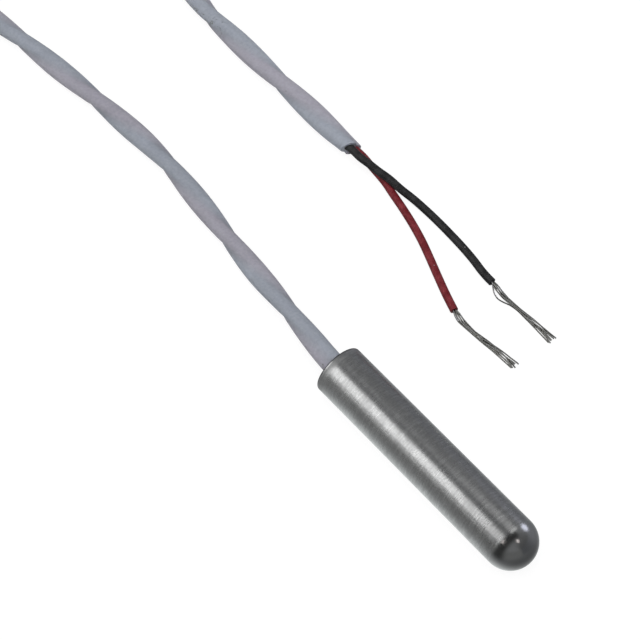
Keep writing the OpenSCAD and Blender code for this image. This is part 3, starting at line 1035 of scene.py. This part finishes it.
@dataclass
class Jacket:
    """The twisted jacket, from inside the tube through the coil to its cut end."""

    width: float = 2.67
    thickness: float = 1.92
    end_width: float = 2.84
    waist: float = 0.16
    bore: Pair = (2.2, 1.16)
    wire_pitch: float = 1.05
    held: float = 7.0
    straight: float = 0.3
    join: float = 7.0
    sides: int = 36
    step: float = 0.6
    loosened: float = 60.0
    hollow: float = 6.0
    slant: Pair = (0.4, 0.12)
    slanted: float = 3.0
    coil: Coil = field(default_factory=Coil)
    # The third number of a point is the clearance under the cable
    lead_points: tuple[Point, ...] = (
        (-18, 0.1, 1.78), (-20.5, 0.4, 1.56), (-23, 0.75, 1.21), (-26, 1.2, 0.77),
        (-29, 1.6, 0.37), (-32.5, 1.95, 0.09), (-37.5, 2.45, 0), (-43, 3.05, 0),
        (-48, 3.55, 0), (-52.5, 3.9, 0), (-56, 3.9, 0), (-61, 3.6, 0), (-66.5, 3.2, 0),
        (-72.5, 2.6, 0), (-79, 1.9, 0), (-85.5, 1.05, 0), (-92, 0.2, 0),
    )
    tail_points: tuple[Point, ...] = (
        (-94.5, 27.4, 2.6), (-88.5, 26.3, 2), (-82.5, 25.2, 1.1), (-76.5, 24.1, 0.35),
        (-71, 23.05, 0.05), (-67, 22.55, 0), (-62, 22.5, 0), (-57, 22.45, 0), (-52, 22.45, 0),
        (-47, 22.45, 0), (-43, 22.4, 0), (-39.4, 22.4, 0),
    )
    # Place along X, and direction of the black wire from the middle there, in degrees
    lead_twist: tuple[Pair, ...] = (
        (-19, 154), (-26.5, 63.7), (-39.4, -116.3), (-52.4, -296.3), (-66.2, -476.3),
        (-79.8, -656.3),
    )
    tail_twist: tuple[Pair, ...] = ((-66.9, -7083.7), (-53, -7263.7), (-39.1, -7443.7))
    # How much of the route each of the two is looked up in
    lead_stretch: float = 85.0
    tail_stretch: float = 40.0
    twist_margin: float = 10.0
    twist_smoothing: int = 9

    def lay_out(self, mouth: Vector) -> None:
        """Works out the cable's route and its twist along it.

        Args:
            mouth: Middle of the tube's open end.
        """
        turns = self.coil.points(self.width / 2)
        inward, onward = Vector((self.held, 0, 0)), Vector((self.straight, 0, 0))
        self.route = Route([
            mouth + inward, mouth + inward / 2, mouth, mouth - onward,
            *raised(self.lead_points, self.width / 2),
            self._past(turns[1], turns[0]), *turns, self._past(turns[-2], turns[-1]),
            *raised(self.tail_points, self.end_width / 2),
        ])
        whole = self.route.length
        marks, angles = [0.0], [self.lead_twist[0][1]]
        for twist, start, stop in ((self.lead_twist, 0, self.lead_stretch),
                                   (self.tail_twist, whole - self.tail_stretch, whole)):
            marks += [self.route.mark_at_x(x, start, stop) for x, _ in twist]
            angles += [angle for _, angle in twist]
        margin, window = self.twist_margin, self.twist_smoothing
        self.twist_marks = np.linspace(-margin, whole + margin, round(whole) * 2)
        sharp = np.pad(np.interp(self.twist_marks, marks, angles), window // 2, "edge")
        self.twist_angles = np.convolve(sharp, np.ones(window) / window, "valid")

    def _past(self, before: Vector, last: Vector) -> Vector:
        """A point that lies level beyond an end of the coil."""
        way = (last - before).normalized()
        way.z = 0
        return last + way * self.join

    def turn(self, mark: float) -> float:
        """Direction of the black wire at a length from the start, in radians."""
        return math.radians(float(np.interp(mark, self.twist_marks, self.twist_angles)))

    def place(self, mark: float, shrink: Pair = (1.0, 1.0)) -> Matrix:
        """Finds where the cross-section goes.

        Args:
            mark: Length from the start.
            shrink: Scale across the wires and across one wire.

        Returns:
            The cross-section's place.
        """
        whole = self.route.length
        loose = smoothed(mark, whole - self.loosened, whole)
        grown = 1 + (self.end_width / self.width - 1) * loose
        scale = Matrix.Diagonal((grown * shrink[0], grown * shrink[1], 1, 1))
        near_cut = smoothed(mark, whole - self.slanted, whole)
        lean = Matrix.Identity(4)
        lean[2][0], lean[2][1] = self.slant[0] * near_cut, self.slant[1] * near_cut
        turned = Matrix.Rotation(self.turn(mark), 4, "Z")
        return self.route.frame(mark) @ lean @ turned @ scale

    def wire_spot(self, mark: float, side: int) -> Vector:
        """Where a wire's middle lies in the jacket, on side +1 for black and -1 for red."""
        return self.place(mark) @ Vector((side * self.wire_pitch / 2, 0, 0))

    def build(self) -> Object:
        """Sweeps the two-lobed section along the route and a little way back inside the cut end.

        Returns:
            The jacket.
        """
        bm = bmesh.new()
        ring = new_ring(bm, self.sides, self.thickness / 2)
        offset = (self.width - self.thickness) / 2
        for sign in (1, -1):
            lobe = [v for v in ring_verts(ring) if v.co.x * sign > TINY]
            middle = [v for v in ring_verts(ring) if abs(v.co.x) < TINY and v.co.y * sign > 0]
            bmesh.ops.translate(bm, vec=(sign * offset, 0, 0), verts=lobe)
            bmesh.ops.translate(bm, vec=(0, -sign * self.waist, 0), verts=middle)
        whole = self.route.length
        grown = self.end_width / self.width
        inside = (self.bore[0] / self.end_width, self.bore[1] / (self.thickness * grown))
        out = self.route.even_marks(self.step)
        back = [whole, *np.arange(whole - self.step, whole - self.hollow, -self.step).tolist()]
        places = [self.place(mark) for mark in out] + [self.place(mark, inside) for mark in back]
        sweep_closed(bm, ring, places, out + back)
        piece = finish_piece(bm, "cable_jacket", JACKET)
        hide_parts("jacket_entry", "jacket_probe_side", "jacket_coil", "jacket_tail")
        return piece

    def path(self) -> list[Vector]:
        """The ring centres along the jacket, in metres."""
        return [self.route.spot(mark) * MM for mark in self.route.even_marks(self.step)]


@dataclass
class StrandLay:
    """How the loose strands of a bundle lie about its middle."""

    wide: tuple[Pair, ...]
    high: tuple[Pair, ...]
    pitch: float
    phase: float
    trims: tuple[float, ...]
    stray: tuple[Point, ...]


@dataclass
class Wire:
    """An insulated wire with its stripped strands.

    Strand 0 lies in the middle of the bundle, and strand 1 is the stray one.
    """

    name: str
    side: int
    finish: Finish
    slot: Slot
    wire_node: str
    strand_node: str
    points: tuple[Point, ...]
    strand_points: tuple[Point, ...]
    lay: StrandLay
    diameter: float = 1.0
    core: float = 0.48
    fan: float = 0.75
    strand: float = 0.17
    hidden: tuple[float, ...] = (5.0, 3.75, 2.5, 1.0)
    step: float = 0.35
    strand_step: float = 0.25
    strand_stops: int = 36
    strands_apart: float = 60.0
    sides: int = 24
    strand_sides: int = 10
    edge_round: float = 0.03
    bore: float = 1.15
    bore_depth: float = 1.2
    sway: float = 0.25
    sway_start: float = 2.0

    def build_insulation(self, jacket: Jacket) -> Object:
        """Sweeps the insulation from inside the jacket to its cut end.

        Args:
            jacket: The jacket, which says where the wire lies in it.

        Returns:
            The insulation.
        """
        whole = jacket.route.length
        inner = [jacket.wire_spot(whole - back, self.side) for back in self.hidden]
        route = Route([*inner, *raised(self.points, self.diameter / 2)])
        marks = route.even_marks(self.step)
        places = [*route.frames(marks[:-1]), route.frame(route.length - self.edge_round)]
        lip = 1 - 2 * self.edge_round / self.diameter
        bore = self.bore * self.core / self.diameter
        for scale, back in ((lip, 0.0), (bore, self.edge_round), (bore, self.bore_depth)):
            marks.append(route.length - back)
            places.append(route.frame(marks[-1]) @ Matrix.Diagonal((scale, scale, 1, 1)))
        bm = bmesh.new()
        sweep_closed(bm, new_ring(bm, self.sides, self.diameter / 2), places, marks)
        piece = finish_piece(bm, f"{self.name}_wire", self.finish)
        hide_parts(self.wire_node)
        return piece

    def build_strands(self) -> Object:
        """Sweeps each strand round the middle of the bundle.

        Returns:
            The strands, as one piece.
        """
        spots = self.strand_points
        radii = np.linspace(self.core / 2, self.fan / 2, len(spots))
        middle = Route([Vector((x, y, z + r)) for (x, y, z), r in zip(spots, radii)])
        bm = bmesh.new()
        for index in range(len(self.lay.trims)):
            route = self._strand_route(middle, index)
            marks = route.even_marks(self.strand_step)
            ring = new_ring(bm, self.strand_sides, self.strand / 2)
            sweep_closed(bm, ring, route.frames(marks), marks)
        piece = finish_piece(bm, f"{self.name}_strands", STRAND)
        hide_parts(self.strand_node)
        return piece

    def _strand_route(self, middle: Route, index: int) -> Route:
        """Lays out one strand.

        Args:
            middle: The middle of the bundle.
            index: Number of the strand.

        Returns:
            Its route.
        """
        lay = self.lay
        if index == 1:
            return Route([Vector(point) for point in lay.stray])
        stop = middle.length - lay.trims[index]
        points = []
        for mark in np.linspace(0, stop, self.strand_stops):
            angle = math.radians(lay.phase + self.strands_apart * index)
            angle -= math.tau * mark / lay.pitch
            wide = float(np.interp(mark, *zip(*lay.wide)))
            high = float(np.interp(mark, *zip(*lay.high)))
            reach = 1.0 if index else self.sway * smoothed(mark, self.sway_start, stop)
            offset = Vector((wide * reach * math.cos(angle), high * reach * math.sin(angle), 0))
            spot = middle.frame(float(mark)) @ offset
            spot.z = max(spot.z, self.strand / 2)
            points.append(spot)
        return Route(points)


@dataclass
class CoilTie:
    """The tie round the turns, with its head and the stub of its cut tail."""

    width: float = 2.4
    strap: float = 0.4
    slack: float = 0.1
    corner_steps: int = 8
    rim_angle: float = 1.2
    rim_round: float = 0.07
    rim_segments: int = 2
    head_depth: float = 2.2
    head_extra: float = 1.4
    head_height: float = 3.0
    head_round: float = 0.22
    head_segments: int = 3
    slot_border: float = 0.62
    slot_depth: float = 1.4
    teeth: int = 7
    notch: float = 0.78
    stub_reach: float = 1.0
    stub_gap: float = 0.3

    def build(self, coil: Coil) -> Object:
        """Builds the strap, the head and the stub on the far side of the coil.

        Args:
            coil: The turns that it holds.

        Returns:
            The tie.
        """
        bm = bmesh.new()
        corner, slack = coil.pitch / 2 - self.slack, 2 * self.slack
        inner = coil.middle - coil.pitch - slack
        outer = coil.middle + coil.pitch + slack
        low, high = self.strap + corner, 2 * coil.pitch - corner
        spots = [(inner, low), (outer, low), (coil.middle + slack, high), (inner, high)]
        loops = [edge for grown in (corner, corner + self.strap)
                 for edge in self._outline(bm, spots, grown)]
        wall = bmesh.ops.bridge_loops(bm, edges=loops)["faces"]
        moved = verts_among(bmesh.ops.extrude_face_region(bm, geom=wall)["geom"])
        bmesh.ops.translate(bm, vec=(0, self.width, 0), verts=moved)
        bmesh.ops.translate(bm, vec=(0, -self.width / 2, 0), verts=bm.verts)
        rims = [edge for edge in bm.edges
                if len(edge.link_faces) == 2 and edge.calc_face_angle(0) > self.rim_angle]
        bevel(bm, rims, self.rim_round, self.rim_segments)
        x = inner - corner - self.head_depth / 2
        self._add_head(bm, x, coil.pitch)
        self._add_stub(bm, x, coil.pitch + self.head_height / 2)
        bmesh.ops.scale(bm, vec=(-1, 1, 1), verts=bm.verts)
        bmesh.ops.reverse_faces(bm, faces=bm.faces)
        bmesh.ops.translate(bm, vec=(*coil.centre, 0), verts=bm.verts)
        piece = finish_piece(bm, "cable_tie", FINISHES[Slot.TIE])
        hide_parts("coil_tie")
        return piece

    def _outline(self, bm: BMesh, spots: Sequence[Pair], r: float) -> Ring:
        """Draws the outline at a distance round four corners.

        Args:
            bm: The mesh.
            spots: Middles of the corners, against the clock.
            r: The distance.

        Returns:
            The outline's edges.
        """
        pen = Pen(bm, spots[0][0], spots[0][1] - r)
        for i in range(4):
            before, here, after = (spots[(i + k) % 4] for k in (0, 1, 2))
            onward = math.atan2(here[1] - before[1], here[0] - before[0])
            turned = math.atan2(after[1] - here[1], after[0] - here[0])
            pen.line(here[0] + r * math.sin(onward), here[1] - r * math.cos(onward))
            pen.arc(*here, math.degrees((turned - onward) % math.tau), self.corner_steps)
        pen.close()
        return pen.edges

    def _add_head(self, bm: BMesh, x: float, z: float) -> None:
        """Adds the head, with the slot in its top.

        Args:
            bm: The mesh.
            x: Its middle along X, before the tie is turned to its side.
            z: Its middle along Z.
        """
        size = (self.head_depth + self.strap, self.width + self.head_extra, self.head_height)
        made = bmesh.ops.create_cube(bm, size=1)["verts"]
        bmesh.ops.scale(bm, vec=size, verts=made)
        bmesh.ops.translate(bm, vec=(x, 0, z), verts=made)
        edges = edges_at(made)
        top = max({face for vert in made for face in vert.link_faces},
                  key=lambda face: face.calc_center_median().z)
        bmesh.ops.inset_region(bm, faces=[top], thickness=self.slot_border)
        sunk = verts_among(bmesh.ops.extrude_face_region(bm, geom=[top])["geom"])
        bmesh.ops.translate(bm, vec=(0, 0, -self.slot_depth), verts=sunk)
        bmesh.ops.delete(bm, geom=[top], context="FACES_KEEP_BOUNDARY")
        bevel(bm, edges, self.head_round, self.head_segments)

    def _add_stub(self, bm: BMesh, x: float, z: float) -> None:
        """Adds the toothed stub, which stands half in the slot.

        Args:
            bm: The mesh.
            x: Its middle along X, before the tie is turned to its side.
            z: Its middle along Z.
        """
        ring = edges_at(bmesh.ops.create_grid(bm, x_segments=1, y_segments=1, size=0.5)["verts"])
        marks = [self.stub_reach * (i / self.teeth - 1) for i in range(2 * self.teeth + 1)]
        places = [Matrix.Translation((x, 0, z + mark)) @ Matrix.Diagonal(
            (self.strap * (1.0 if i % 2 else self.notch), self.width - self.stub_gap, 1, 1))
            for i, mark in enumerate(marks)]
        bmesh.ops.contextual_create(bm, geom=sweep(bm, ring, places, marks))


BLACK_WIRE = Wire(
    "black", 1, BLACK, Slot.BLACK, "wire_black", "strands_black",
    points=(
        (-38.7, 22.2, 1.3), (-37.5, 22.2, 1.25), (-36.2, 22.43, 1.12), (-34.6, 22.63, 1.02),
        (-33, 22.87, 0.98), (-31, 23.1, 0.66), (-28.9, 23.5, 0.24), (-26.8, 23.65, 0.05),
        (-24.6, 23.65, 0), (-22.4, 23.55, 0), (-20.2, 23.4, 0), (-18, 23.15, 0),
        (-15.9, 22.8, 0), (-14.5, 22.7, 0), (-14.2, 22.7, 0),
    ),
    strand_points=(
        (-14.9, 22.7, 0.2), (-13.9, 22.7, 0.2), (-12.65, 22.55, 0.1), (-10.55, 22.55, 0),
        (-8.1, 22.6, 0), (-5.2, 22.7, 0), (-3.65, 22.62, 0),
    ),
    lay=StrandLay(
        wide=((0, 0.15), (0.7, 0.17), (1.6, 0.28), (3.2, 0.30), (4.6, 0.19), (5.6, 0.17),
              (7.5, 0.28), (9.5, 0.30), (10.4, 0.36), (11, 0.46)),
        high=((0, 0.15), (0.8, 0.16), (3, 0.2), (5.6, 0.16), (11, 0.2)),
        pitch=21.0, phase=20.0, trims=(0.25, 0.0, 0.3, 0.1, 0.35, 0.2, 0.05),
        stray=((-14.9, 22.62, 0.66), (-14.2, 22.6, 0.66), (-13.7, 22.3, 0.6), (-13.0, 21.86, 0.5),
               (-12.1, 21.68, 0.36), (-11.4, 21.9, 0.26), (-10.7, 22.2, 0.2),
               (-9.7, 22.4, 0.14), (-8.2, 22.4, 0.1), (-6.1, 22.3, 0.1), (-4.0, 22.16, 0.1)),
    ),
)
RED_WIRE = Wire(
    "red", -1, RED, Slot.RED, "wire_red", "strands_red",
    points=(
        (-38.7, 22.88, 0.58), (-37.6, 23.02, 0.25), (-36.4, 22.98, 0.03), (-35, 22.86, 0),
        (-33.4, 22.66, 0), (-31.3, 22.2, 0), (-29.2, 21.75, 0), (-26.6, 21.1, 0),
        (-24, 20.3, 0), (-21.5, 19.35, 0), (-19, 18.35, 0), (-16.4, 17.35, 0),
        (-14.5, 16.7, 0), (-14.2, 16.6, 0),
    ),
    strand_points=(
        (-14.9, 16.75, 0.2), (-13.8, 16.6, 0.2), (-12.55, 16.4, 0.1), (-11.15, 16.37, 0),
        (-9.45, 16.5, 0), (-7.3, 16.8, 0), (-5.3, 16.93, 0), (-4.0, 16.95, 0),
    ),
    lay=StrandLay(
        wide=((0, 0.15), (0.7, 0.2), (1.6, 0.29), (3.2, 0.24), (4.4, 0.18), (6.4, 0.33),
              (8.5, 0.34), (9.8, 0.33), (10.7, 0.42)),
        high=((0, 0.15), (0.8, 0.16), (3, 0.18), (10.7, 0.2)),
        pitch=22.0, phase=75.0, trims=(0.3, 0.1, 0.0, 0.25, 0.4, 0.15, 0.0),
        stray=((-14.9, 16.72, 0.62), (-14.2, 16.45, 0.6), (-13.65, 16.18, 0.52),
               (-12.95, 16.0, 0.4), (-12.0, 16.05, 0.28), (-10.9, 16.15, 0.18),
               (-9.3, 16.25, 0.12), (-7.3, 16.42, 0.1), (-5.5, 16.48, 0.1), (-4.3, 16.52, 0.1)),
    ),
)


@dataclass
class InnerParts:
    """The CAD parts that stay, most of them sealed inside the tube."""

    frame: dict

    def dress(self) -> None:
        """Gives each CAD part that is still shown the finish of its slot."""
        for part in self.frame["record"]["subparts"]:
            node = self.frame["nodes"][part["node"]]
            if node.hide_render:
                continue
            finish = FINISHES[Slot(part["material_slot"])]
            node.data.materials.clear()
            node.data.materials.append(finish.material())
            LOG.info("%s: dressed in %s", node.name, finish.name)


# ---- The studio ----


@dataclass(frozen=True)
class Lamp:
    """A soft rectangular or oval light above the object.

    Its tilt and spread are degrees about the X axis, from straight up towards +Y. The ends are
    metres along X, and the level is what a mirror would show of it, where 1 is white.
    """

    name: str
    tilt: float
    spread: float
    distance: float
    ends: Pair
    level: float
    colour: Colour = (1.0, 1.0, 1.0)
    mirrored: bool = True
    oval: bool = False

    def build(self, target: Vector) -> None:
        """Places the light so that it faces the object.

        Args:
            target: What it faces, in metres.
        """
        low, high = self.ends
        data = bpy.data.lights.new(self.name, "AREA")
        data.shape = "ELLIPSE" if self.oval else "RECTANGLE"
        data.size = high - low
        data.size_y = 2 * self.distance * math.tan(math.radians(self.spread / 2))
        filled = math.pi / 4 if self.oval else 1.0
        data.energy = self.level * math.pi * data.size * data.size_y * filled
        data.color = self.colour
        turn = math.radians(self.tilt)
        way = Vector(((low + high) / 2, self.distance * math.sin(turn),
                      self.distance * math.cos(turn)))
        away = way.normalized()
        across = away.cross(Vector((1, 0, 0))).normalized()
        turned = Matrix((across.cross(away), across, away)).transposed()
        light = put_in_scene(self.name, data)
        light.matrix_world = Matrix.Translation(target + way) @ turned.to_4x4()
        light.visible_glossy = self.mirrored


LAMPS = (
    Lamp("key strip", -39, 38, 0.6, (-0.55, -0.145), 1.28),
    Lamp("strip end", -38, 34, 0.6, (-0.26, -0.15), 0.45),
    Lamp("low strip", -67, 8, 0.6, (-0.55, -0.145), 0.68),
    Lamp("side strip", 13, 15, 0.7, (-0.55, -0.15), 0.1),
    Lamp("side panel", 19, 30, 0.6, (-0.12, -0.02), 0.9),
    Lamp("far lamp", 66, 25, 0.6, (-0.08, 0.16), 1.2, (0.92, 0.94, 1.12), oval=True),
    Lamp("near lamp", 5, 8, 0.4, (0.24, 0.34), 1.7, (1.08, 0.98, 0.96), oval=True),
    Lamp("small lamp", -42, 9, 0.4, (-0.02, 0.02), 2.6, (1.08, 0.98, 0.96), oval=True),
    Lamp("overhead fill", -8.5, 53, 0.9, (-0.36, 0.54), 2.95, mirrored=False),
)


@dataclass
class Studio:
    """The pale floor and the dim room.

    A way is the part of a direction that runs along X, from -1 to 1.
    """

    lamps_face: Point = (-0.01, 0.005, 0.003)
    floor_radius: float = 1300.0
    sweep_radius: float = 400.0
    sweep_steps: int = 12
    wall_height: float = 300.0
    sides: int = 48
    merged: float = 0.01
    floor_colour: float = 0.86
    floor_glow: float = 0.90
    floor_lit: float = 0.14
    # A painted glow on the floor near the tube, which only polished metal shows in its reflections
    near_colour: Colour = (0.98, 1.02, 1.02)
    near_reach: float = 5.6
    near_fall: float = 3.0
    near_end: float = 12.3
    end_fall: float = 2.3
    tip_start: float = 9.0
    tip_gain: float = 0.1
    # What it shows far off, in front and behind, with painted dark patches on the floor
    dome_middle: float = 12.7
    front_colour: Colour = (0.246, 0.249, 0.249)
    back_colour: Colour = (0.192, 0.198, 0.212)
    back_span: Span = (-30.0, 30.0)
    past_way: Span = (-0.28, 0.0)
    past_span: Span = (3.0, 8.0)
    past_far: Span = (8.0, 30.0)
    past_dark: Pair = (0.62, 0.42)
    front_span: Span = (6.0, 14.0)
    front_dark: float = 0.75
    beside_way: Span = (0.3, 1.0)
    beside_dark: float = 0.55
    # The room, with its darkest part between two ways and its tilts in degrees
    room: Colour = (0.203, 0.206, 0.211)
    room_dim: float = 0.6
    side_share: float = 0.25
    side_tilt: Span = (-30.0, 10.0)
    side_way: Span = (-0.3, 1.0)
    dark_from: Span = (-0.28, -0.1)
    dark_to: Span = (0.6, 0.22)
    dark_tilt: Span = (34.0, 12.0)
    room_dark: float = 0.9

    def build(self) -> None:
        """Builds the floor, the world and the lights."""
        self._build_floor()
        self._build_world()
        for lamp in LAMPS:
            lamp.build(Vector(self.lamps_face))

    def _build_floor(self) -> None:
        """Builds the floor, which turns up far behind the object on every side."""
        bm = bmesh.new()
        pen = Pen(bm, 0, 0)
        pen.line(self.floor_radius, 0)
        pen.arc(self.floor_radius, self.sweep_radius, 90, self.sweep_steps)
        pen.line(self.floor_radius + self.sweep_radius, self.sweep_radius + self.wall_height)
        lathe(bm, (0, 0, 1), self.sides, self.merged)
        floor = mesh_object(bm, "pale_floor", self._floor_material())

    def _floor_material(self) -> Material:
        """Makes the floor look white to the camera while it keeps the object's shadow, and paints a
        glow on it that only reflections see.

        Returns:
            The material.
        """
        made = bpy.data.materials.new("pale floor")
        bench = new_bench(made)
        x, y, _ = bench.split(bench.millimetres())
        rays = bench.add("ShaderNodeLightPath").outputs
        camera = rays["Is Camera Ray"]
        mirrored = bench.maths("MAXIMUM", rays["Is Glossy Ray"], rays["Is Transmission Ray"])
        lit = bench.times(bench.between(camera, self.floor_colour, self.floor_lit),
                          bench.rest(mirrored))
        shade = bench.add("ShaderNodeCombineColor", {0: lit, 1: lit, 2: lit}).outputs[0]
        # Reflections see the painted glow with its painted dark patches instead of the lit floor
        shown = bench.tint(camera, self._painted_floor_glow(bench, x, y), (self.floor_glow,) * 3)
        plain = bench.add("ShaderNodeBsdfDiffuse", {"Color": shade}).outputs[0]
        glow = bench.add("ShaderNodeEmission", {
            "Color": shown, "Strength": bench.maths("MAXIMUM", camera, mirrored)}).outputs[0]
        both = bench.add("ShaderNodeAddShader", {0: plain, 1: glow}).outputs[0]
        bench.add("ShaderNodeOutputMaterial", {"Surface": both})
        return made

    def _painted_floor_glow(self, bench: Bench, x: Socket, y: Socket) -> Socket:
        """Paints a glow on the floor that only polished metal shows, bright close to the tube and
        dim far off, with painted dark patches.

        Args:
            bench: The floor's node tree.
            x: Place on the floor along X, in millimetres.
            y: Place along Y.

        Returns:
            The colour.
        """
        ends = bench.maths("POWER", self._past(bench, bench.maths("ABSOLUTE", x), self.near_end),
                           self.end_fall)
        tip = self._past(bench, x, self.tip_start)
        away = bench.times(bench.maths("SQRT", bench.maths("MULTIPLY_ADD", y, y, ends)),
                           bench.maths("MULTIPLY_ADD", tip, self.tip_gain, 1.0))
        fall = bench.maths("POWER", bench.maths("DIVIDE", away, self.near_reach), self.near_fall)
        near = bench.maths("DIVIDE", 1.0, bench.maths("ADD", 1.0, fall))
        ahead = bench.maths("SUBTRACT", x, self.dome_middle)
        square = bench.maths("MULTIPLY_ADD", ahead, ahead, bench.maths("MULTIPLY_ADD", y, y, 1.0))
        reach = bench.maths("SQRT", square)
        way = bench.maths("DIVIDE", ahead, reach)
        past = bench.times(bench.fade(way, *self.past_way), bench.fade(reach, *self.past_span),
                           bench.between(bench.fade(reach, *self.past_far), *self.past_dark))
        dark = bench.times(self._dark_share(bench, way), bench.fade(reach, *self.front_span),
                           self.front_dark)
        front = bench.darker(bench.darker(self.front_colour, past), dark)
        beside = bench.times(bench.fade(way, *self.beside_way), self.beside_dark)
        behind = bench.darker(self.back_colour, beside)
        far = bench.tint(bench.fade(y, *self.back_span), front, behind)
        return bench.tint(near, far, self.near_colour)

    @staticmethod
    def _past(bench: Bench, value: Socket, start: float) -> Socket:
        """How far a value lies past a start, and 0 before it."""
        return bench.maths("MAXIMUM", bench.maths("SUBTRACT", value, start), 0.0)

    def _dark_share(self, bench: Bench, way: Socket) -> Socket:
        """How dark the room is towards the camera, from 0 to 1."""
        return bench.times(bench.fade(way, *self.dark_from), bench.fade(way, *self.dark_to))

    def _build_world(self) -> None:
        """Fills the room with dim light that is weaker on one side and weakest at the camera."""
        world = bpy.data.worlds.new("dim room")
        bench = new_bench(world)
        x, y, z = bench.split(bench.add("ShaderNodeTexCoord").outputs["Generated"])
        tilt = bench.maths("DEGREES", bench.maths("ARCTAN2", y, z))
        side = bench.between(bench.fade(tilt, *self.side_tilt), self.side_share * self.room_dim,
                             self.room_dim)
        side = bench.times(side, bench.fade(x, *self.side_way))
        dark = bench.times(self._dark_share(bench, x), bench.fade(tilt, *self.dark_tilt),
                           self.room_dark)
        level = bench.times(bench.rest(side), bench.rest(dark))
        back = bench.add("ShaderNodeBackground", {"Color": rgba(self.room), "Strength": level})
        bench.add("ShaderNodeOutputWorld", {"Surface": back.outputs[0]})
        bpy.context.scene.world = world


@dataclass
class ViewCamera:
    """The camera at the photograph's place, in millimetres."""

    place: Point = (74.94, -80.17, 208.25)
    target: Point = (-23.675, 3.968, 0.0)
    lens: float = 117.62
    sensor: float = 36.0
    clip: Pair = (5.0, 10000.0)

    def build(self) -> None:
        """Places the camera and makes it the scene's own."""
        data = bpy.data.cameras.new("camera")
        data.lens = self.lens
        data.sensor_width = self.sensor
        data.sensor_fit = "HORIZONTAL"
        data.clip_start, data.clip_end = self.clip[0] * MM, self.clip[1] * MM
        camera = put_in_scene("camera", data)
        place, target = Vector(self.place) * MM, Vector(self.target) * MM
        turned = (target - place).to_track_quat("-Z", "Y").to_matrix().to_4x4()
        camera.matrix_world = Matrix.Translation(place) @ turned
        bpy.context.scene.camera = camera


def main() -> None:
    """Builds the camera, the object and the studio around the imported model."""
    logging.basicConfig(level=logging.INFO, format="%(name)s: %(message)s")
    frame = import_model()
    ViewCamera().build()
    sheath = Sheath()
    jacket = Jacket()
    jacket.lay_out(sheath.mouth)
    cord = jacket.build()
    on_cord = []
    for wire in (BLACK_WIRE, RED_WIRE):
        on_cord += [wire.build_insulation(jacket), wire.build_strands()]
    on_cord.append(CoilTie().build(jacket.coil))
    jacket.path()
    sheath.build()
    InnerParts(frame).dress()
    Studio().build()
    bpy.context.scene.view_settings.view_transform = "Standard"
    LOG.info("jacket: %.1f mm along its middle", jacket.route.length)


if __name__ == "__main__":
    main()
